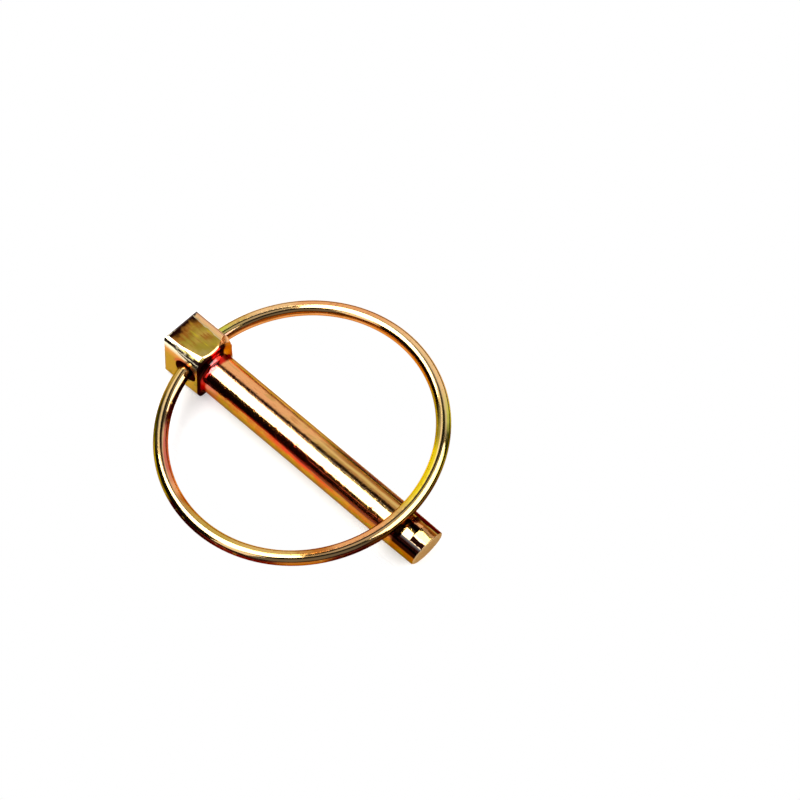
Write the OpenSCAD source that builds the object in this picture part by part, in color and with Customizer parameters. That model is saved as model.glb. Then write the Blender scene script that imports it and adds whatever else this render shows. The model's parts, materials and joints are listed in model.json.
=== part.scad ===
// Lynch pin: a forged pin with a square head, and a spring-wire ring hinged in the head.
// The origin is on the shank's axis where its straight wall starts, just past the neck under
// the head. +X runs along the shank to its cropped tip, the ring hinges about an axis close
// to Y, and the pin lies on the side of its head that faces -Z. Sizes are in millimetres.

/* [Shank] */
// Diameter of the shank
shank_d = 8; // [7.5:0.25:9]
// Usable length, from the head's shoulder to the near side of the closed ring
grip_len = 46.5; // [38:0.5:60]
// How far the shank runs on past the far side of the ring's wire
tip_over = 4.8; // [4:0.1:10]
// Fillet between the shoulder and the shank
neck_r = 1.2; // [0.6:0.1:1.5]

/* [Cropped tip] */
// Slant of the sheared end away from square, in degrees, longer on the upper side
crop_slant = 10; // [0:1:16]
// Radius that the shear has rolled on the end's rim
crop_roll = 0.6; // [0.2:0.05:0.9]
// How much thinner the last stretch has been drawn, on the radius
draw_in = 0.12; // [0.04:0.02:0.3]
// Depth of the flats that the shear's grip has pressed into the tip's upper side
grip_depth = 0.12; // [0.04:0.02:0.3]
// Length of the shallow flat, and of the deeper one beyond it
grip_flat = 2.4; // [1.2:0.1:2.4]
// Where the flats face, in degrees round from the top of the shank
grip_turn = 20; // [0:5:45]
// How far the deeper flat dips towards the end, in degrees
grip_tilt = 3; // [1:1:6]

/* [Head] */
// Length of the head along the shank
head_len = 9; // [8.6:0.2:12]
// Width of the head at its outer end, between the two sides that the ring enters
head_w = 9; // [8.8:0.2:12]
// Height of the head, across the ring's plane
head_h = 11.2; // [10.6:0.2:14]
// How much higher the head's middle is than the shank's axis
head_rise = 0.7; // [0:0.1:1]
// How far the head's middle is to the far side of the shank's axis
head_shift = 0.15; // [0:0.05:0.2]
// Draft that closes the head's near side towards the shoulder
near_draft = 0.25; // [0:0.05:0.3]
// Rounding of the four long edges
edge_r = 1.3; // [0.6:0.1:1.6]
// Radius of the soft rounding that opens along the near upper edge towards the shoulder
soft_r = 3.2; // [2.6:0.1:3.6]
// How fast the soft rounding runs out towards the outer end, in degrees
soft_draft = 3.5; // [3:0.25:5]
// Rounding of the edges round the head's outer end
end_r = 0.7; // [0.5:0.1:1.4]
// Land of flat shoulder left outside the shank before the turned bevel starts
shoulder_land = 1.9; // [1.7:0.1:2.2]
// Angle of the shoulder's turned bevel from the shank's axis, in degrees
bevel_angle = 45; // [36:1:60]

/* [Cross hole] */
// Distance of the cross hole behind the shoulder
hole_back = 3.4; // [3.2:0.1:4.4]
// Height of the cross hole over the shank's axis
hole_rise = 1.6; // [0.6:0.1:1.8]
// How much higher the hole's far mouth is than its near mouth
mouth_rise = 1.2; // [0.4:0.1:1.4]
// How much further from the shoulder the hole's far mouth is than its near mouth
mouth_lag = 0.2; // [0:0.1:0.6]
// Running clearance of the wire in the hole, on the radius
hole_play = 0.08; // [0.03:0.01:0.1]
// Width of the flared mouths, on the radius
flare_w = 1; // [0.5:0.05:1.1]

/* [Ring] */
// Diameter of the spring wire
wire_d = 2.8; // [2.4:0.1:3.2]
// Length of straight wire outside the head before the ring starts to bend away
leg_out = 0.2; // [0.2:0.05:1]
// Gap between the wire's two ends inside the head
end_gap = 2.4; // [1.6:0.2:4]
// Radius of the bend between each straight leg and the round of the ring
bend_r = 3.2; // [2.4:0.2:8]
// How much thinner the bending has drawn the wire, on the radius
bend_thin = 0.02; // [0.01:0.01:0.04]
// Bevel on the wire's cut ends
wire_bevel = 0.3; // [0.1:0.05:0.5]
// Air between the closed ring and the shank that it lies on
rest_gap = 0.05; // [0.02:0.01:0.1]

/* [Hidden] */
$fn = 96;
plate_gold = [0.78, 0.60, 0.28];
wire_gold = [0.83, 0.66, 0.33];

shank_r = shank_d / 2;
wire_r = wire_d / 2;
hole_r = wire_r + hole_play;

// The head lies behind the neck, and the origin is where the neck's fillet ends.
shoulder_x = -neck_r;
head_back_x = shoulder_x - head_len;
bevel_r = shank_r + shoulder_land;
near_y = head_shift - head_w / 2;
far_y = head_shift + head_w / 2;
near_turn = atan(near_draft / head_len);

// The hinge axis is the askew cross hole's: rolled about X, then swung about Z.
hinge = [shoulder_x - hole_back, head_shift, hole_rise];
hinge_roll = atan(mouth_rise / head_w);
hinge_swing = atan(mouth_lag * cos(hinge_roll) / head_w);
hinge_over = hole_rise * cos(hinge_roll) - head_shift * sin(hinge_roll);

// The straight wall stops short of the closed ring, which lies on the drawn-in stretch.
cross_run = hole_back + grip_len + wire_r;
cross_x = hinge[0] + cross_run;
wall_margin = 0.5;
wall_end = cross_x - wire_r - wall_margin;
tip_x = cross_x + wire_r + tip_over;
crop_out = shank_r * tan(crop_slant);
drawn_end = tip_x + crop_out;
draw_rate = draw_in / (drawn_end - wall_end);
rest_r = shank_r - draw_rate * (cross_x - wall_end);

// The closed wire crosses the shank at cross_run from the hinge, and rest_gap above it.
cross_lift = rest_r + wire_r + rest_gap - hinge_over;
cross_flat = cross_run / cos(hinge_swing);
ring_reach = sqrt(cross_flat * cross_flat + cross_lift * cross_lift);
ring_pitch = atan2(cross_lift, cross_flat);

// Each leg leaves the head along the hinge axis and bends tangent into the round of the ring.
leg_end = head_w / 2 + leg_out;
bow = leg_end * leg_end / (ring_reach - 2 * bend_r);
ring_r = (ring_reach + bow) / 2;
ring_c = ring_reach - ring_r;
bend_sweep = asin(leg_end / (ring_r - bend_r));
bend_lap = 0.5;

// A rectangle with rounded corners, centred
module rounded_rect(w, h, r) {
    square([w, h - 2 * r], center = true);
    square([w - 2 * r, h], center = true);
    for (sx = [-1, 1], sy = [-1, 1])
        translate([sx * (w / 2 - r), sy * (h / 2 - r)])
            circle(r);
}

// The outline of one view of the head, from its rounded outer end to past the shoulder
module end_rounded(w) {
    run = 2 * head_len;
    translate([run / 2, 0])
        rounded_rect(run, w, end_r);
}

// A bar along X with its finished long edges on one side, which lies on the plane y = 0
module one_sided_bar(side) {
    translate([-head_len, side * head_w, head_rise])
        rotate([90, 0, 90])
            linear_extrude(3 * head_len)
                rounded_rect(2 * head_w, head_h, edge_r);
}

// The soft corner of the near upper edge, whose two sides stand clear of the head's own
module soft_corner() {
    lead = 0.1;
    reach = 4 * head_h;
    translate([head_len, near_y, head_rise + head_h / 2])
        rotate([0, soft_draft, soft_draft])
            translate([-2 * head_len, reach / 2 - lead, lead - reach / 2])
                rotate([90, 0, 90])
                    linear_extrude(3 * head_len)
                        rounded_rect(reach, reach, soft_r);
}

// The cone that turns the corners off the shoulder, wide open behind it
module shoulder_bevel() {
    rotate([0, 90, 0])
        cylinder(h = head_len, r1 = bevel_r + head_len * tan(bevel_angle), r2 = bevel_r);
}

// The block between its rounded outer end and its bevelled shoulder, with no long sides yet
module head_ends() {
    intersection() {
        translate([0, head_shift, head_rise - head_h])
            linear_extrude(2 * head_h)
                end_rounded(head_w);
        translate([0, head_w, head_rise])
            rotate([90, 0, 0])
                linear_extrude(2 * head_w)
                    end_rounded(head_h);
        shoulder_bevel();
    }
}

// The fillet under the head
module neck() {
    rotate([0, 90, 0])
        rotate_extrude()
            difference() {
                square([shank_r + neck_r, neck_r]);
                translate([shank_r + neck_r, neck_r])
                    circle(neck_r);
            }
}

// The forged head and its neck, between the far side and the drafted near side
module head() {
    translate([head_back_x, 0, 0])
        intersection() {
            union() {
                head_ends();
                translate([head_len, 0, 0])
                    neck();
            }
            translate([0, far_y, 0])
                one_sided_bar(-1);
            translate([0, near_y, 0])
                rotate([0, 0, near_turn])
                    one_sided_bar(1);
            soft_corner();
        }
}

// The shank: a straight wall, then the stretch that the crop has drawn in
module shank() {
    start = head_back_x + head_len / 2;
    translate([start, 0, 0])
        rotate([0, 90, 0])
            cylinder(h = wall_end - start, r = shank_r);
    translate([wall_end, 0, 0])
        rotate([0, 90, 0])
            cylinder(h = drawn_end - wall_end, r1 = shank_r, r2 = shank_r - draw_in);
}

// Everything on the head's side of the slanted crop, with the rim that the shear rolled over
module crop_form() {
    back = tip_x - head_back_x + 2 * head_h;
    wide = 2 * back;
    translate([tip_x, 0, 0])
        rotate([0, 90 + crop_slant, 0])
            rotate_extrude() {
                translate([0, -back])
                    square([wide, back - crop_roll]);
                translate([0, -2 * crop_roll])
                    square([shank_r - crop_roll, 2 * crop_roll]);
                translate([shank_r - crop_roll, -crop_roll])
                    circle(crop_roll);
            }
}

// The shallow flat that the shear's grip pressed into the tip, and the deeper one by the crop
module grip_flats() {
    rotate([-grip_turn, 0, 0])
        translate([tip_x - 2 * grip_flat, 0, shank_r - grip_depth]) {
            translate([0, -shank_r, 0])
                cube([3 * grip_flat, shank_d, shank_d]);
            translate([grip_flat, -shank_r, 0])
                rotate([0, grip_tilt, 0])
                    cube([2 * grip_flat, shank_d, shank_d]);
        }
}

// Turns from the ring's own frame, with the hinge axis along Y, to the closed ring's place
module closed_place() {
    translate(hinge)
        rotate([hinge_roll, 0, 0])
            rotate([0, 0, hinge_swing])
                rotate([0, -ring_pitch, 0])
                    children();
}

// The askew cross hole with its two flared mouths
module cross_hole() {
    mouth = head_w / 2;
    closed_place() {
        rotate([90, 0, 0])
            cylinder(h = 2 * head_w, r = hole_r, center = true);
        for (side = [-1, 1])
            rotate([side * 90, 0, 0])
                translate([0, 0, mouth - flare_w])
                    cylinder(h = 3 * flare_w, r1 = hole_r, r2 = hole_r + 3 * flare_w);
    }
}

// The forged pin: head, neck and shank in one piece, drilled for the ring and cropped
module pin() {
    color(plate_gold)
        difference() {
            intersection() {
                union() {
                    head();
                    shank();
                }
                crop_form();
            }
            grip_flats();
            cross_hole();
        }
}

// One straight leg on the hinge axis, bevelled at its cut end, and its bend
module leg(side) {
    inner = end_gap / 2;
    rotate([-side * 90, 0, 0]) {
        translate([0, 0, inner + wire_bevel])
            cylinder(h = leg_end - inner - wire_bevel, r = wire_r);
        translate([0, 0, inner])
            cylinder(h = wire_bevel, r1 = wire_r - wire_bevel, r2 = wire_r);
    }
    bend_start = side > 0 ? 180 - bend_sweep : 180;
    translate([bend_r, side * leg_end, 0])
        rotate_extrude(angle = bend_sweep + 2 * bend_lap, start = bend_start - bend_lap)
            translate([bend_r, 0])
                circle(wire_r - bend_thin);
}

// The round of the ring, from one bend to the other
module round_of_ring() {
    translate([ring_c, 0, 0])
        rotate_extrude(angle = 360 - 2 * bend_sweep, start = bend_sweep - 180)
            translate([ring_r, 0])
                circle(wire_r);
}

// The spring-wire ring, closed over the shank
module ring() {
    color(wire_gold)
        closed_place() {
            round_of_ring();
            for (side = [-1, 1])
                leg(side);
        }
}

pin();
ring();
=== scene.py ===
import json
import math

import bmesh
import bpy
from mathutils import Matrix, Vector


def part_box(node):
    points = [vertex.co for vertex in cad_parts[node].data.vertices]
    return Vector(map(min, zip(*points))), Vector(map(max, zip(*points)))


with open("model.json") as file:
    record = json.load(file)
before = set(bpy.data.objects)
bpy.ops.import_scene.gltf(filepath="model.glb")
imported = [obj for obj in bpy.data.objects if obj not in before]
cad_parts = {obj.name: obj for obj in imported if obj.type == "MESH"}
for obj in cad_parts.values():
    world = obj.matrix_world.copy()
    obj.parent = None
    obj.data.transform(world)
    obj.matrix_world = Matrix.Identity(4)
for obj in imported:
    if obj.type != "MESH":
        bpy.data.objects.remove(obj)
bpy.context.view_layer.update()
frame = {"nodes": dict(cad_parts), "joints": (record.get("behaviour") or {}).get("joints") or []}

# Sizes are in millimetres and angles in degrees, unless a name says otherwise.
MM = 0.001
PICTURE_SIDE = 800
SENSOR_WIDTH = 36

# The camera: its place round the pin, its lens, and where the pin's origin falls in the picture.
CAMERA_AZIMUTH = 40.2817
CAMERA_ELEVATION = 57.7886
CAMERA_ROLL = 3.6682
CAMERA_FOCUS = 3484.3
CAMERA_DISTANCE = 643.72
CAMERA_CLIP_METRES = (0.05, 10)
ORIGIN_IN_PICTURE = (218.95, 374.83)

# The pin lies along X, with its head behind the origin and its slanted crop at the other end.
pin_low, pin_high = (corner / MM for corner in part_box("pin"))
HEAD_BACK_X = pin_low.x
HEAD_UNDER_Z = pin_low.z
HEAD_TOP_Z = pin_high.z
HEAD_LENGTH = 9
SHOULDER_X = HEAD_BACK_X + HEAD_LENGTH
END_X = 52.9
END_SLANT = 10
# Where the crop's grip has pressed its deeper flat.
GRIP_X = 50.5

# The line that the ring hinges about, and the mouths of the hole that it passes through.
(ring_swing,) = frame["joints"]
HINGE = Vector(ring_swing["pos_m"]) / MM
HINGE_AXIS = -Vector(ring_swing["axis"])
MOUTH_RADIUS = 2.5

# The closed ring's turn about its hinge, its middle from there, and its wire.
RING_TURN = -4.3
RING_MIDDLE = 25.484
RING_RADIUS = 25.974
WIRE_RADIUS = 1.4
# Where the wire's crown line faces, in the ring's own frame.
RING_CROWN = (0.40, -0.30, 0.86)

# The pin lies on the front edge of its head's underside and on the rim of its tip.
HEAD_FOOT = (SHOULDER_X, HEAD_UNDER_Z)
TIP_FOOT = (52.2, -3.88)
PIN_MIDDLE = (22, 0, 0)

# The floor's paper: its side, its grey and its glow, and where it ends as the plating mirrors it.
FLOOR_SIDE = 3000
PAPER_GREY = (0.62, 0.62, 0.62, 1)
PAPER_GLOW = 0.42
PAPER_FADE = (38, 85)
# The part of the paper that carries the pin's shadow: its length, how far beside it the paper
# fades out, and by what share that is less at the tip, from where to where along the pin.
SHADOW_LENGTH = 64
SHADOW_FADE = (10, 18)
SHADOW_TAPER = 0.6
SHADOW_TAPER_X = (18, 34)

# Each lamp's place round the pin as azimuth and elevation, counted from +X towards +Y, then how
# wide and high it looks from there, and how bright its face is beside white paper.
LAMP_DISTANCE = 700
LAMPS = {
    "overhead_box": (225, 57.5, 48, 34, 6.0),
    "side_box": (27, 38, 56, 48, 4.5),
    "front_strip": (264, 24, 22, 30, 1.5),
}

# The room that the plating mirrors: which way its sweep and its front lie from the pin, and how
# bright each part of it is beside white paper.
SWEEP_WAY = (-0.64, 0.77)
FRONT_WAY = (0.67, -0.74)
SWEEP_LEVEL = 1.15
FRONT_LEVEL = 0.3
CEILING_LEVEL = 0.7
CORNER_LEVEL = 1.0
DIM_LEVEL = 0.01

# The tints of yellow zinc plating, from its thin films and from what the dip left, and the
# colours painted on it as shade, dark reflections and highlights where they are used.
SALMON = (0.88, 0.39, 0.15)
HONEY = (0.72, 0.44, 0.13)
GOLD = (0.58, 0.36, 0.07)
OCHRE = (0.54, 0.24, 0.02)
COPPER = (0.50, 0.15, 0.02)
AMBER = (0.34, 0.10, 0.012)
OLIVE = (0.36, 0.27, 0.03)
MOSS = (0.11, 0.11, 0.02)
LIME = (0.62, 0.58, 0.09)
LEMON = (0.90, 0.66, 0.02)
ROSE = (0.64, 0.15, 0.10)
RED = (0.66, 0.02, 0.012)
WINE = (0.12, 0.010, 0.007)
UMBER = (0.06, 0.030, 0.012)
NEAR_BLACK = (0.016, 0.003, 0.002)
CREAM = (0.95, 0.80, 0.50)
TAN = (0.95, 0.58, 0.26)
BUFF = (0.50, 0.34, 0.18)
# The tint of what the plating mirrors at a grazing angle.
EDGE_TINT = (0.48, 0.28, 0.09, 1)

# The clear film's gloss. Then the plating's roughness on the wire and on the shank, and how much
# rougher the head's sides, its top and the cropped end are.
FILM_IOR = 1.9
FILM_ROUGHNESS = 0.05
RING_ROUGHNESS = 0.1
SHANK_ROUGHNESS = 0.12
SIDES_ROUGHER = 0.2
TOP_ROUGHER = 0.26
END_ROUGHER = 0.35

# How high the fine forms of the plating stand, and how steep the grip's flat is.
RING_GRAIN = 0.006
RING_SWELL = 0.03
SHANK_GRAIN = 0.010
HEAD_GRAIN = 0.004
PIN_SWELL = 0.05
PIT_DEPTH = 0.006
DRAWN_LINE = 0.03
SCALE_HEIGHT = 0.05
GRIP_SLOPE = 0.3

# The tint along the ring, as degrees round it from the tip's side, on the outer side of the
# wire and on the inner side. Its near-black and wine bands are painted dark reflections, and
# the near-black by the head on the inner side is painted shade.
OUTER_TINTS = (
    (-178, GOLD), (-163, GOLD), (-152, MOSS), (-140, MOSS), (-128, OLIVE), (-113, OLIVE),
    (-107, NEAR_BLACK), (-90, NEAR_BLACK), (-82, WINE), (-62, WINE), (-54, AMBER), (-40, AMBER),
    (-32, WINE), (-20, WINE), (-12, COPPER), (4, GOLD), (18, OLIVE), (38, MOSS), (46, LIME),
    (60, TAN), (84, TAN), (96, SALMON), (132, SALMON), (139, TAN), (152, TAN),
    (160, HONEY), (167, LIME), (178, LIME))
INNER_TINTS = (
    (-178, NEAR_BLACK), (-154, NEAR_BLACK), (-146, WINE), (-139, ROSE), (-122, ROSE), (-114, SALMON),
    (-106, COPPER), (-96, GOLD), (-80, GOLD), (-66, HONEY), (-54, HONEY), (-42, COPPER),
    (-32, SALMON), (-14, SALMON), (-4, HONEY), (6, LEMON), (28, LEMON), (36, OLIVE),
    (56, OLIVE), (66, COPPER), (98, COPPER), (108, AMBER), (164, AMBER), (174, WINE))


class Value:
    """A socket in a finish's nodes. Sums written with it add the Math nodes."""

    def __init__(self, nodes, socket):
        self.nodes = nodes
        self.socket = socket

    def __add__(self, other):
        return self.nodes.math("ADD", self, other)

    def __sub__(self, other):
        return self.nodes.math("SUBTRACT", self, other)

    def __rsub__(self, other):
        return self.nodes.math("SUBTRACT", other, self)

    def __mul__(self, other):
        return self.nodes.math("MULTIPLY", self, other)

    def __truediv__(self, other):
        return self.nodes.math("DIVIDE", self, other)

    def __neg__(self):
        return self * -1

    __radd__ = __add__
    __rmul__ = __mul__


class Nodes:
    """The nodes of one finish, or of the room."""

    def __init__(self, owner):
        owner.use_nodes = True
        self.tree = owner.node_tree
        self.tree.nodes.clear()

    def add(self, kind, settings=None, sockets=None, output=0):
        """Adds a node: its settings come first, then the values or links of its sockets."""
        node = self.tree.nodes.new(kind)
        for name, value in (settings or {}).items():
            if name == "stops":
                self.set_stops(node.color_ramp, value)
            else:
                setattr(node, name, value)
        for name, value in (sockets or {}).items():
            if isinstance(value, Value):
                self.tree.links.new(value.socket, node.inputs[name])
            else:
                node.inputs[name].default_value = value
        return Value(self, node.outputs[output]) if len(node.outputs) else None

    def set_stops(self, ramp, stops):
        """Gives a ramp its (place, colour) stops."""
        for place, _ in stops[2:]:
            ramp.elements.new(place)
        for element, (place, colour) in zip(ramp.elements, stops):
            element.position = place
            element.color = (*colour, 1)

    def math(self, operation, *terms):
        """What a Math node makes of the terms."""
        return self.add("ShaderNodeMath", {"operation": operation}, dict(enumerate(terms)))

    def length(self, x, y):
        """How far (x, y) is from (0, 0)."""
        return self.math("SQRT", x * x + y * y)

    def place(self):
        """The point on the object, in millimetres."""
        metres = self.add("ShaderNodeTexCoord", output="Object")
        return self.add(
            "ShaderNodeVectorMath", {"operation": "SCALE"}, {0: metres, "Scale": 1 / MM})

    def split(self, vector):
        """The three parts of a vector."""
        parts = self.add("ShaderNodeSeparateXYZ", sockets={0: vector})
        return [Value(self, s) for s in parts.socket.node.outputs]

    def noise(self, place, size, detail=2, stretch=(1, 1, 1)):
        """Noise about 0.5 whose grains are about the given size across."""
        scaled = self.add(
            "ShaderNodeVectorMath", {"operation": "MULTIPLY"}, {0: place, 1: stretch})
        return self.add("ShaderNodeTexNoise", sockets={
            "Vector": scaled, "Scale": 1 / size, "Detail": detail, "Roughness": 0.5})

    def rise(self, value, low, high):
        """0 below low and 1 above high, with a smooth step between them."""
        return self.add("ShaderNodeMapRange", {"interpolation_type": "SMOOTHSTEP"}, {
            "Value": value, "From Min": low, "From Max": high})

    def fall(self, value, low, high):
        """1 below low and 0 above high, with a smooth step between them."""
        return 1 - self.rise(value, low, high)

    def band(self, value, low, high, soft):
        """1 between low and high, with soft edges."""
        return self.rise(value, low - soft, low + soft) * (
            self.fall(value, high - soft, high + soft))

    def mix(self, mask, under, over):
        """The colour under, covered by over where the mask is 1."""
        sockets = {0: mask, 6: under, 7: over}
        for index in (6, 7):
            if not isinstance(sockets[index], Value):
                sockets[index] = (*sockets[index], 1)
        return self.add("ShaderNodeMix", {"data_type": "RGBA"}, sockets, output=2)

    def layers(self, colour, *layers):
        """The colour with (mask, tint) layers over it, the last one on top."""
        for mask, tint in layers:
            colour = self.mix(mask, colour, tint)
        return colour


def round_the_ring(nodes, place):
    """How far round the ring a point is in degrees, and how far off the wire's crown it is."""
    turn = (
        Matrix.Rotation(math.atan2(HINGE_AXIS.z, HINGE_AXIS.y), 3, "X")
        @ Matrix.Rotation(-math.asin(HINGE_AXIS.x), 3, "Z")
        @ Matrix.Rotation(math.radians(RING_TURN), 3, "Y"))
    laid_flat = nodes.add("ShaderNodeMapping", {"vector_type": "TEXTURE"}, {
        "Vector": place, "Location": HINGE, "Rotation": turn.to_euler("XYZ")})
    x, y, z = nodes.split(laid_flat)
    x = x - RING_MIDDLE
    round_by = nodes.math("ARCTAN2", y, x) * math.degrees(1)
    side = (nodes.length(x, y) - RING_RADIUS) / WIRE_RADIUS * RING_CROWN[2]
    lean = (x * RING_CROWN[0] + y * RING_CROWN[1]) / RING_RADIUS
    return round_by, side - lean * z / WIRE_RADIUS


def dark_reflection_lines(nodes, round_by, off, drift):
    """Three lines of painted dark reflection: along stretches of the outer rim, and on either
    side of the crown.
    """
    rim = nodes.rise(off + drift * 0.3, 0.55, 0.68) * (
        nodes.band(round_by, -108, -82, 6) + nodes.band(round_by, -36, 22, 8))
    inner_line = nodes.band(off + drift * 0.4, -0.56, -0.42, 0.06) * (
        nodes.band(round_by, 44, 100, 8))
    outer_line = nodes.band(off + drift * 0.4, 0.40, 0.62, 0.06) * (
        nodes.band(round_by, -160, -100, 8) + nodes.band(round_by, -76, -58, 4))
    return rim, inner_line, outer_line


def ring_finish(nodes, place):
    """The wire's plating: bands of tint that change round the ring and across the wire, with
    painted sheen along the crown and painted dark reflections and shade among its bands.
    """
    round_by, off = round_the_ring(nodes, place)
    drift = nodes.noise(place, 5) - 0.5
    fleck = nodes.noise(place, 0.9, detail=3)
    ramps = []
    for tints in (OUTER_TINTS, INNER_TINTS):
        stops = [(angle / 360 + 0.5, tint) for angle, tint in tints]
        ramps.append(nodes.add("ShaderNodeValToRGB", {"stops": stops}, {
            0: (round_by + drift * 20) / 360 + 0.5}))
    outer, inner = ramps

    # The clear film along the crown reaches further down the inner side by the head.
    by_head = nodes.fall(round_by, -160, -152)
    crown = nodes.fall(off + drift * 0.3, 0.32, 0.48) * (
        nodes.rise(off + drift * 0.3 + by_head * 0.16, -0.44, -0.28))
    rim, inner_line, outer_line = dark_reflection_lines(nodes, round_by, off, drift)
    inner_rim = nodes.rise(drift * 0.3 - off, 0.70, 0.84) * nodes.band(round_by, 60, 176, 8)

    colour = nodes.layers(
        nodes.mix(nodes.rise(off + drift * 0.5, -0.2, 0.2), inner, outer),
        (nodes.rise(fleck, 0.56, 0.70) * 0.25, GOLD),
        (nodes.fall(fleck, 0.26, 0.42) * 0.4, AMBER),
        # Painted sheen: honey along the crown, where the lamps' highlight lies.
        (crown * 0.7 * nodes.fall(round_by, 160, 166), HONEY),
        # Painted dark reflection: the rim and the lines beside the crown.
        (rim * 0.9, NEAR_BLACK),
        ((inner_line + outer_line) * 0.85, NEAR_BLACK),
        (inner_rim * 0.6, SALMON))
    height = nodes.noise(place, 0.5, detail=3) * RING_GRAIN + nodes.noise(place, 3) * RING_SWELL
    return colour, RING_ROUGHNESS, crown, height


class PinPlace:
    """Where a point is on the pin, which parts it is on, and what breaks up the tints there."""

    def __init__(self, nodes, place):
        self.place = place
        self.x, self.y, self.z = nodes.split(place)
        # Degrees round the shank, from its top towards the near side.
        self.turn = nodes.math("ARCTAN2", -self.y, self.z) * math.degrees(1)
        self.from_back = self.x - HEAD_BACK_X
        self.below_top = HEAD_TOP_Z - self.z
        self.past_grip = self.x - GRIP_X

        # A broad drift, clouds, and two kinds of fine streak along the pin.
        self.drift = nodes.noise(place, 4) - 0.5
        self.cloud = nodes.noise(place, 1.6, detail=3) - 0.5
        self.streak = nodes.noise(place, 1.0, detail=4, stretch=(0.3, 1, 1)) - 0.5
        self.brush = nodes.noise(place, 0.7, detail=4, stretch=(0.12, 1, 1)) - 0.5

        self.on_head = nodes.fall(self.x - SHOULDER_X, -0.1, 0.1)
        self.on_top = nodes.fall(self.below_top, 0.01, 0.06)
        self.on_sides = self.on_head * (1 - self.on_top)
        self.lip = nodes.fall(self.below_top, 0.22, 0.30)
        self.before_bevel = nodes.fall(self.x - SHOULDER_X, -0.55, -0.35)
        self.near_tip = nodes.rise(self.past_grip + self.drift, -3.9, -2.9)
        self.bare_shank = nodes.rise(self.x, 0.2, 0.9) * (1 - self.near_tip)
        past_end = self.x - self.z * math.tan(math.radians(END_SLANT)) - END_X
        self.on_end = nodes.rise(past_end, -0.25, -0.1)


def shank_far_side(nodes, at):
    """Salmon that turns to honey, darker towards the tip, and olive underneath as painted shade.
    """
    under = nodes.fall(at.turn + at.drift * 10, -62, -40)
    past = nodes.rise(at.x + at.drift * 10, 23, 31) * (1 - under * 0.7)
    return nodes.layers(
        nodes.mix(nodes.rise(at.x + at.drift * 30, 14, 30), SALMON, HONEY),
        (past * nodes.fall(at.turn + at.drift * 8 + at.x * 0.1, -18, -11) * 0.85, AMBER),
        (past * nodes.fall(at.turn + at.drift * 5, -33, -27) * 0.9 * (1 - under), UMBER),
        (past * nodes.band(at.turn + at.drift * 3, -30.5, -27.5, 1) * 0.8, GOLD),
        (past * nodes.band(at.turn + at.drift * 4, -9, 3, 3) * 0.6, AMBER),
        ((1 - past) * nodes.fall(at.turn + at.drift * 6, -44, -36) * 0.7, OLIVE),
        (nodes.band(at.turn + at.drift * 4 + at.cloud * 8, 0, 8, 2) * 0.7, AMBER))


def shank_near_side(nodes, at):
    """Rose by the head, then copper with a red patch that ends in amber, olive underneath. This
    near side is painted darker than the far side, and darker still underneath, as painted shade.
    """
    patch = nodes.band(at.x + at.drift * 12, 17, 33, 4) * (
        nodes.fall(at.turn + at.drift * 10, 68, 78))
    past_patch = nodes.rise(at.x + at.drift * 8, 25, 31) * (
        nodes.fall(at.turn + at.drift * 8, 64, 73))
    return nodes.layers(
        nodes.mix(nodes.rise(at.turn + at.drift * 40 + at.cloud * 30, 76, 90), COPPER, OLIVE),
        (nodes.rise(at.cloud + at.drift * 0.4, -0.02, 0.10) * 0.7, OCHRE),
        (patch * 0.8, RED),
        (past_patch * 0.7, AMBER),
        (nodes.fall(at.x + at.drift * 3, 1.5, 4.5), ROSE))


def shank_colour(nodes, at):
    """The shank's two sides, with honey painted along the crown's highlight as sheen, a wine line
    of painted dark reflection beside it, and streaks.
    """
    step = nodes.rise(at.x + at.drift * 10, 17, 26) * 5
    line = nodes.band(at.turn + at.drift * 4 - step, 38, 61, 2) * nodes.rise(at.turn, 40, 44)
    return nodes.layers(
        shank_far_side(nodes, at),
        (nodes.rise(at.turn + at.drift * 14, 8, 26), shank_near_side(nodes, at)),
        # Painted sheen: honey along the crown's highlight.
        (nodes.band(at.turn, 10, 38, 3) * 0.7, HONEY),
        (nodes.rise(at.streak, 0.03, 0.18) * 0.4, OLIVE),
        (nodes.rise(-at.streak, 0.04, 0.20) * 0.45, COPPER),
        # Painted dark reflection: the wine line beside the crown.
        (line * 0.85, WINE))


def tip_colour(nodes, at):
    """Past the ring the shank is painted dark, as painted dark reflection, but for painted
    highlights on its grip's two flats.
    """
    first_flat = nodes.band(at.turn, 8, 36, 2) * nodes.rise(at.past_grip, -2.6, -2.2)
    deeper_flat = nodes.band(at.turn + at.cloud * 8, -10, 22, 2) * (
        nodes.rise(at.past_grip, 0, 0.2))
    return nodes.layers(
        nodes.mix(nodes.fall(at.turn + at.cloud * 20, -19, -15), SALMON, AMBER),
        (nodes.fall(at.turn + at.drift * 8, -34, -29), UMBER),
        (nodes.fall(at.turn + at.drift * 20, -80, -45), COPPER),
        (nodes.band(at.turn + at.drift * 4, -32, -29, 1) * 0.8, GOLD),
        # Painted dark reflection over the top, and painted highlights on the two flats.
        (nodes.rise(at.turn + at.cloud * 10, -9, -6), NEAR_BLACK),
        (first_flat, HONEY),
        (deeper_flat, HONEY),
        (nodes.rise(at.turn, 70, 76), AMBER),
        (nodes.rise(at.turn + at.cloud * 30, 82, 92) * 0.7, OLIVE))


def painted_dark_spots(nodes, at):
    """Painted dark reflection round the deeper flat: a spot below it and a gap before it."""
    spot = nodes.rise(at.past_grip + at.cloud * 1.5, -0.3, 0) * (
        nodes.band(at.turn + at.cloud * 12, 21, 37, 1.5))
    gap = nodes.band(at.past_grip + at.cloud, -0.25, 0, 0.08) * (
        nodes.band(at.turn + at.cloud * 20, -8, 20, 4))
    return nodes.math("MAXIMUM", spot, gap)


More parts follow.
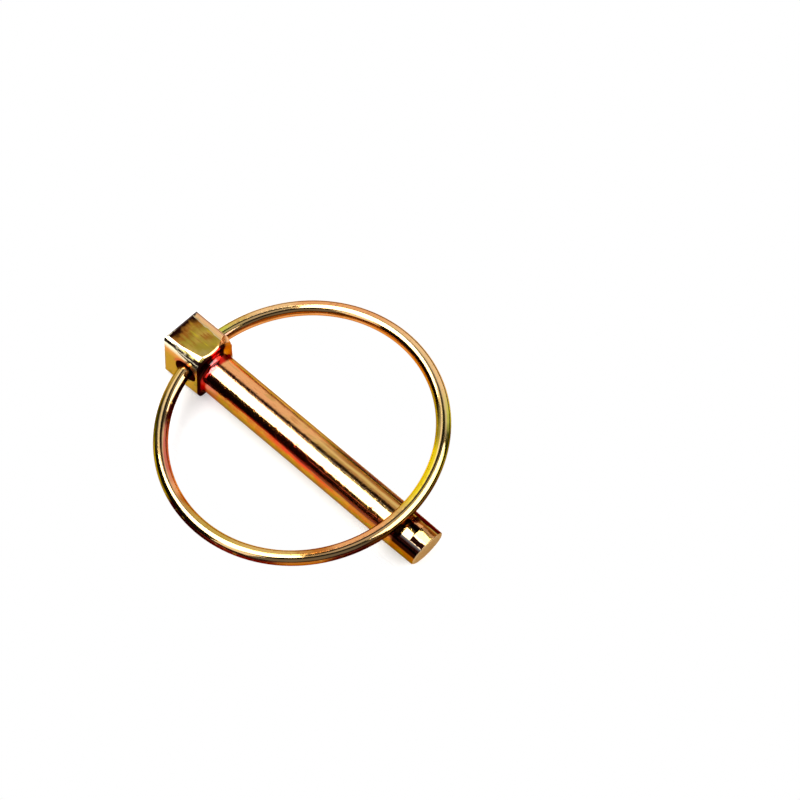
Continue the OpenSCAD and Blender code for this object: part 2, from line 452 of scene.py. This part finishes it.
def shank_specks(nodes, at):
    """Dark specks along both edges of the shank's crown highlight: painted dark reflection that
    breaks the highlight's edges.
    """
    speck = nodes.noise(at.place, 0.55, detail=2, stretch=(0.5, 1, 1)) + at.cloud * 0.3
    return nodes.rise(speck, 0.57, 0.62) * at.bare_shank * (
        nodes.band(at.turn + at.drift * 3, 31, 40, 2) + nodes.band(at.turn, -2, 8, 2))


def neck_colour(nodes, at):
    """Red painted reflection in the neck's fillet, and wine painted shade lower down and on the
    far side.
    """
    return nodes.layers(
        nodes.mix(nodes.rise(at.turn + at.drift * 8, 44, 54) * 0.5, RED, WINE),
        (nodes.fall(at.turn + at.drift * 10, -28, -14), WINE))


def shoulder_colour(nodes, at):
    """Near-black painted dark reflection, with a painted red glow above the neck, copper on the
    far side and a painted highlight in honey on the lip.
    """
    return nodes.layers(
        nodes.mix(nodes.band(at.turn + at.drift * 6, -15, 4, 4), NEAR_BLACK, RED),
        (nodes.fall(at.turn + at.drift * 6, -34, -28), COPPER),
        (at.lip, HONEY))


def head_side(nodes, at):
    """Gold with salmon towards the top, and a painted highlight on the soft rounding of the near
    upper edge.

    Also gives where painted shade lies in the rounding, and where the painted highlight turns
    creamy.
    """
    across = at.y + at.z + at.cloud * 0.7
    rounding = nodes.rise(across, -0.5, 0.5) * nodes.fall(at.below_top, 2.1, 2.9) * (
        nodes.fall(at.y, -2, -1)) * nodes.rise(at.from_back, 0.02, 0.15)
    forward = nodes.rise(at.from_back + at.cloud * 2, 3.2, 4.7)
    forward_highlight = forward * nodes.rise(across, 1.8, 2.4) * nodes.rise(at.below_top, 0.15, 0.25)

    # Painted shade in the rounding, drawn as creases: a line all along, a second one above it at
    # the back, dark patches in the middle, and the nook by the shoulder.
    line = nodes.band(across, 1.55, 2.1, 0.1) * nodes.rise(at.drift + at.cloud, -0.22, -0.1)
    upper_line = nodes.band(across + at.drift, 4.0, 4.35, 0.1) * (1 - forward)
    shade_patches = nodes.rise(at.brush, -0.02, 0.06) * nodes.band(across, 0.7, 2.7, 0.2) * (
        nodes.band(at.from_back + at.drift, 2.7, 6.2, 0.5))
    nook = nodes.rise(at.from_back + at.cloud, 7.0, 7.4) * nodes.band(across, 1.5, 2.7, 0.2)
    crease_shade = nodes.math("MAXIMUM", line, upper_line + shade_patches + nook)
    crease_shade = nodes.math("MINIMUM", crease_shade, 1) * rounding

    # Painted shade at the back top corner.
    back_corner_shade = nodes.fall(at.from_back, 0.4, 0.8) * nodes.fall(at.below_top, 0.6, 1.1)
    # Painted dark edges: shade along the back and bottom edges of the sides.
    rim = nodes.fall(at.from_back, 0.25, 0.45) + nodes.fall(at.z - HEAD_UNDER_Z, 0.25, 0.45)
    colour = nodes.layers(
        nodes.mix(nodes.rise(at.cloud + at.drift * 0.5, 0.02, 0.16) * 0.7, GOLD, OLIVE),
        (nodes.rise(at.z + at.cloud * 3 + at.drift * 2, 1.8, 4.2) * 0.8, SALMON),
        (back_corner_shade, NEAR_BLACK),
        # Painted highlight on the soft rounding.
        (rounding, nodes.mix(forward_highlight * 0.7, CREAM, LEMON)),
        # Painted shade in the creases.
        (crease_shade, nodes.mix(shade_patches * 0.35, NEAR_BLACK, MOSS)),
        (rim * (1 - rounding) * 0.8, WINE))
    return colour, crease_shade, forward_highlight


def head_top(nodes, at):
    """Olive and amber brush marks that darken backwards, with a tan strip of painted reflection
    on the far edge and a painted highlight in cream along it.
    """
    paler_to_front = nodes.rise(at.from_back - at.y * 1.2 + at.cloud * 5 + at.brush * 3, 7.4, 10.8)
    browner_to_back = nodes.fall(at.from_back - at.cloud * 4 - at.brush * 3, 1.6, 4.0)
    darkest_at_back = nodes.fall(at.from_back - at.cloud * 2.5 - at.drift - at.brush * 2, 0.9, 2.2)
    across = at.y + at.cloud * 0.6 + at.x * 0.03
    far_edge_sheen = nodes.rise(across, 2.75, 3.0) * nodes.rise(at.from_back + at.cloud * 2, 0.6, 1.2)
    return nodes.layers(
        nodes.mix(nodes.rise(at.brush + at.cloud * 0.4, -0.04, 0.10) * 0.8, GOLD, AMBER),
        (nodes.rise(at.drift - at.brush * 0.4, -0.16, 0.10) * 0.9, OLIVE),
        (nodes.rise(-at.brush - at.cloud * 0.5, 0.05, 0.25) * 0.3, LEMON),
        (paler_to_front * 0.12, CREAM),
        (browner_to_back * 0.8, AMBER),
        (darkest_at_back, NEAR_BLACK),
        # Painted reflection on the far edge, and a painted highlight along its border.
        (far_edge_sheen * 0.9, TAN),
        (nodes.band(across, 2.7, 2.85, 0.08) * 0.6, CREAM))


def hole_masks(nodes, at):
    """The rim above the hole's mouths, painted pink as reflection, and the inside of the mouths,
    painted near-black as shade.
    """
    step = HINGE_AXIS / HINGE_AXIS.y
    along = at.y - HINGE.y
    x = at.x - HINGE.x - along * step.x
    z = at.z - HINGE.z - along * step.z
    outside = nodes.length(x, z) - MOUTH_RADIUS
    rim = nodes.fall(outside, 0.4, 0.8) * nodes.rise(z, 0.2, 1.4) * at.on_sides * at.before_bevel
    mouth = nodes.fall(outside, -0.05, 0.1) * at.on_sides
    return rim, mouth


def pin_height(nodes, at):
    """The plating's fine forms, the scale on top of the head, and the grip's deeper flat."""
    grain = nodes.noise(at.place, 0.6, detail=3, stretch=(0.6, 1, 1)) * (
        SHANK_GRAIN - at.on_head * (SHANK_GRAIN - HEAD_GRAIN))
    pit = nodes.noise(at.place, 0.4, detail=1, stretch=(0.5, 1, 1))
    pits = nodes.fall(pit, 0.31, 0.43) * (1 - at.on_head) * PIT_DEPTH
    drawn = nodes.band(at.turn + at.drift * 3, 46, 47, 1.5) * (
        nodes.rise(at.x + at.drift * 6, 21, 27)) * DRAWN_LINE
    swell = nodes.noise(at.place, 3.5) * PIN_SWELL
    scale = at.brush * at.on_top * SCALE_HEIGHT
    grip = nodes.rise(at.past_grip, -0.05, 0.05) * (1 - at.on_end) * (
        nodes.band(at.turn, -24, 34, 1)) * at.y * GRIP_SLOPE
    return grain - pits + drawn + swell + scale + grip


def pin_finish(nodes, place):
    """The pin's plating, with what the forge, the dip and the crop have left on it, and painted
    shade, dark reflections and highlights.
    """
    at = PinPlace(nodes, place)
    dark_spots = painted_dark_spots(nodes, at)
    specks = shank_specks(nodes, at)
    rim, mouth = hole_masks(nodes, at)
    side, crease_shade, forward_highlight = head_side(nodes, at)
    colour = nodes.layers(
        shank_colour(nodes, at),
        (at.near_tip, tip_colour(nodes, at)),
        # Painted dark reflection by the grip's deeper flat.
        (dark_spots, NEAR_BLACK),
        # Painted reflection and shade in the neck.
        (nodes.fall(at.x + at.cloud, 0.2, 0.9), neck_colour(nodes, at)),
        # Painted dark reflection, glow and highlight on the shoulder.
        (nodes.fall(at.x - SHOULDER_X, 0.35, 0.65), shoulder_colour(nodes, at)),
        (at.before_bevel, nodes.mix(at.on_top, side, head_top(nodes, at))),
        # Painted reflection on the rim above the hole, and painted shade inside its mouths.
        (rim * 0.8, ROSE),
        (mouth, NEAR_BLACK),
        (at.on_end, nodes.mix(nodes.rise(at.cloud, 0, 0.3) * 0.3, BUFF, COPPER)),
        # Painted dark reflection: specks along the edges of the shank's highlight.
        (specks * 0.9, WINE))

    # The film lies along the shank's crown, on the head's upper edges and in the neck's glint,
    # and is thin elsewhere.
    stripe = nodes.band(at.turn, 3, 42, 4) * nodes.rise(at.x, -0.5, -0.1) * (
        1 - at.on_end) * (1 - dark_spots) * (1 - specks)
    edge = nodes.fall(at.below_top, 1.3, 2.1) * at.on_sides * (1 - crease_shade) * (
        at.before_bevel + (1 - at.before_bevel) * at.lip) * (1 - forward_highlight * at.before_bevel * 0.5)
    glint = nodes.band(at.x, -0.9, -0.1, 0.1) * nodes.band(at.turn, -2, 22, 4)
    elsewhere = at.bare_shank + at.before_bevel * (1 - at.on_top)
    film = (stripe + edge + glint * 0.8 + elsewhere * 0.06) * (1 - mouth)

    roughness = SHANK_ROUGHNESS + at.on_top * TOP_ROUGHER + at.on_end * END_ROUGHER + (
        at.on_head - at.on_top) * (1 - edge) * SIDES_ROUGHER
    return colour, roughness, film, pin_height(nodes, at)


def plating(name, node, finish):
    """The yellow plating of a CAD node, with a clear film that is thickest on its crown."""
    material = bpy.data.materials.new(name)
    nodes = Nodes(material)
    colour, roughness, film, height = finish(nodes, nodes.place())
    normal = nodes.add("ShaderNodeBump", sockets={
        "Height": height * MM, "Distance": 1.0, "Strength": 1.0})
    shader = nodes.add("ShaderNodeBsdfPrincipled", sockets={
        "Base Color": colour, "Metallic": 1.0, "Roughness": roughness, "Normal": normal,
        "Specular Tint": EDGE_TINT, "Coat Weight": film, "Coat Roughness": FILM_ROUGHNESS,
        "Coat IOR": FILM_IOR})
    nodes.add("ShaderNodeOutputMaterial", sockets={"Surface": shader})
    slots = frame["nodes"][node].data.materials
    slots.clear()
    slots.append(material)


def floor_paper():
    """The floor's paper, which also glows to the camera and in what the plating mirrors.

    Away from the pin and from underneath it is clear, because the ring swings below it, most
    closely by the tip. The room shows as white through it.
    """
    material = bpy.data.materials.new("floor_paper")
    nodes = Nodes(material)
    seen = nodes.add("ShaderNodeLightPath", output="Is Camera Ray")
    mirrored = nodes.add("ShaderNodeLightPath", output="Is Glossy Ray")
    x, y, _ = nodes.split(nodes.place())
    along = x - PIN_MIDDLE[0]

    sheet = nodes.add("ShaderNodeBsdfDiffuse", sockets={"Color": PAPER_GREY})
    glow = nodes.add("ShaderNodeEmission", sockets={
        "Color": (1, 1, 1, 1), "Strength": PAPER_GLOW})
    dark = nodes.add("ShaderNodeEmission", sockets={"Strength": 0.0})
    lift = nodes.add("ShaderNodeMixShader", sockets={0: seen + mirrored, 1: dark, 2: glow})
    lit = nodes.add("ShaderNodeAddShader", sockets={0: sheet, 1: lift})
    past = nodes.rise(nodes.length(along, y), *PAPER_FADE)
    paper = nodes.add("ShaderNodeMixShader", sockets={0: mirrored * past, 1: lit, 2: dark})

    beyond = nodes.math("MAXIMUM", nodes.math("ABSOLUTE", along) - SHADOW_LENGTH / 2, 0)
    taper = 1 - nodes.rise(x, *SHADOW_TAPER_X) * SHADOW_TAPER
    faded = nodes.rise(nodes.length(beyond, y) / taper, *SHADOW_FADE) * seen
    underneath = nodes.add("ShaderNodeNewGeometry", output="Backfacing")
    clear = nodes.add("ShaderNodeBsdfTransparent")
    both = nodes.add("ShaderNodeMixShader", sockets={
        0: nodes.math("MAXIMUM", faded, underneath), 1: paper, 2: clear})
    nodes.add("ShaderNodeOutputMaterial", sockets={"Surface": both})
    return material


def make_floor():
    """The pale floor under the pin, with the slope at which the pin lies."""
    (head_x, head_z), (tip_x, tip_z) = HEAD_FOOT, TIP_FOOT
    slope = math.atan2(tip_z - head_z, tip_x - head_x)
    floor = bmesh.new()
    bmesh.ops.create_grid(floor, x_segments=1, y_segments=1, size=FLOOR_SIDE / 2 * MM)
    bmesh.ops.rotate(floor, verts=floor.verts, matrix=Matrix.Rotation(-slope, 3, "Y"))
    bmesh.ops.translate(floor, verts=floor.verts, vec=Vector((head_x, 0, head_z)) * MM)
    mesh = bpy.data.meshes.new("floor")
    floor.to_mesh(mesh)
    floor.free()
    mesh.materials.append(floor_paper())
    thing = bpy.data.objects.new("floor", mesh)
    bpy.context.scene.collection.objects.link(thing)


def make_room():
    """The world: white to the camera, and to everything else a dim room with a pale sweep."""
    world = bpy.data.worlds.new("room")
    bpy.context.scene.world = world
    nodes = Nodes(world)
    x, y, z = nodes.split(nodes.add("ShaderNodeTexCoord", output="Generated"))
    to_sweep = x * SWEEP_WAY[0] + y * SWEEP_WAY[1]
    to_front = x * FRONT_WAY[0] + y * FRONT_WAY[1]
    sweep = nodes.rise(to_sweep, 0.3, 0.5) * nodes.fall(z, 0.78, 0.88)
    front = nodes.rise(to_front, 0.6, 0.85) * nodes.fall(z, 0.6, 0.8)
    ceiling = nodes.rise(x, -0.15, 0.1) * nodes.rise(z, 0.85, 0.93)
    # Where a direction meets a level ceiling one unit up. The height is kept off zero.
    height = z + 0.001
    left, back = x / height, y / height
    corner = nodes.band(left, -0.95, -0.37, 0.04) * nodes.band(back, -0.1, 0.2, 0.04) * (
        nodes.rise(z, 0.3, 0.4))
    level = sweep * SWEEP_LEVEL + front * FRONT_LEVEL + ceiling * CEILING_LEVEL + (
        corner * CORNER_LEVEL) + DIM_LEVEL
    seen = nodes.add("ShaderNodeLightPath", output="Is Camera Ray")
    room = nodes.add("ShaderNodeBackground", sockets={"Strength": level})
    white = nodes.add("ShaderNodeBackground", sockets={"Color": (1, 1, 1, 1), "Strength": 1.0})
    both = nodes.add("ShaderNodeMixShader", sockets={0: seen, 1: room, 2: white})
    nodes.add("ShaderNodeOutputWorld", sockets={"Surface": both})


def make_lamp(name, azimuth, elevation, width, height, level):
    """A flat soft box that faces the middle of the pin."""
    lamp = bpy.data.lights.new(name, "AREA")
    lamp.shape = "RECTANGLE"
    lamp.size, lamp.size_y = (
        2 * LAMP_DISTANCE * math.tan(math.radians(angle / 2)) * MM for angle in (width, height))
    lamp.energy = level * math.pi * lamp.size * lamp.size_y
    thing = bpy.data.objects.new(name, lamp)
    bpy.context.scene.collection.objects.link(thing)
    turn, rise = math.radians(azimuth), math.radians(elevation)
    away = Vector((
        math.cos(turn) * math.cos(rise), math.sin(turn) * math.cos(rise), math.sin(rise)))
    across = Vector((0, 0, 1)).cross(away).normalized()
    facing = Matrix((across, away.cross(across), away)).transposed()
    place = (Vector(PIN_MIDDLE) + away * LAMP_DISTANCE) * MM
    thing.matrix_world = Matrix.LocRotScale(place, facing.to_quaternion(), None)


def make_camera():
    """The camera, placed so that the pin's origin falls at its point of the picture."""
    azimuth, elevation, roll = (
        math.radians(a) for a in (CAMERA_AZIMUTH, CAMERA_ELEVATION, CAMERA_ROLL))
    back = Vector((
        math.sin(azimuth) * math.cos(elevation),
        -math.cos(azimuth) * math.cos(elevation),
        math.sin(elevation)))
    right = Vector((0, 0, 1)).cross(back).normalized()
    up = back.cross(right)
    turn = Matrix((right, up, back)).transposed() @ Matrix.Rotation(roll, 3, "Z")
    across, down = (p - PICTURE_SIDE / 2 for p in ORIGIN_IN_PICTURE)
    scale = CAMERA_DISTANCE / CAMERA_FOCUS
    offset = Vector((-across * scale, down * scale, CAMERA_DISTANCE)) * MM
    camera = bpy.data.cameras.new("camera")
    camera.sensor_width = SENSOR_WIDTH
    camera.lens = CAMERA_FOCUS / PICTURE_SIDE * SENSOR_WIDTH
    camera.clip_start, camera.clip_end = CAMERA_CLIP_METRES
    thing = bpy.data.objects.new("camera", camera)
    bpy.context.scene.collection.objects.link(thing)
    thing.matrix_world = Matrix.LocRotScale(turn @ offset, turn.to_quaternion(), None)
    bpy.context.scene.camera = thing


plating("pin_plating", "pin", pin_finish)
plating("ring_plating", "ring", ring_finish)
make_floor()
make_room()
for name, values in LAMPS.items():
    make_lamp(name, *values)
make_camera()
bpy.context.scene.view_settings.view_transform = "Standard"
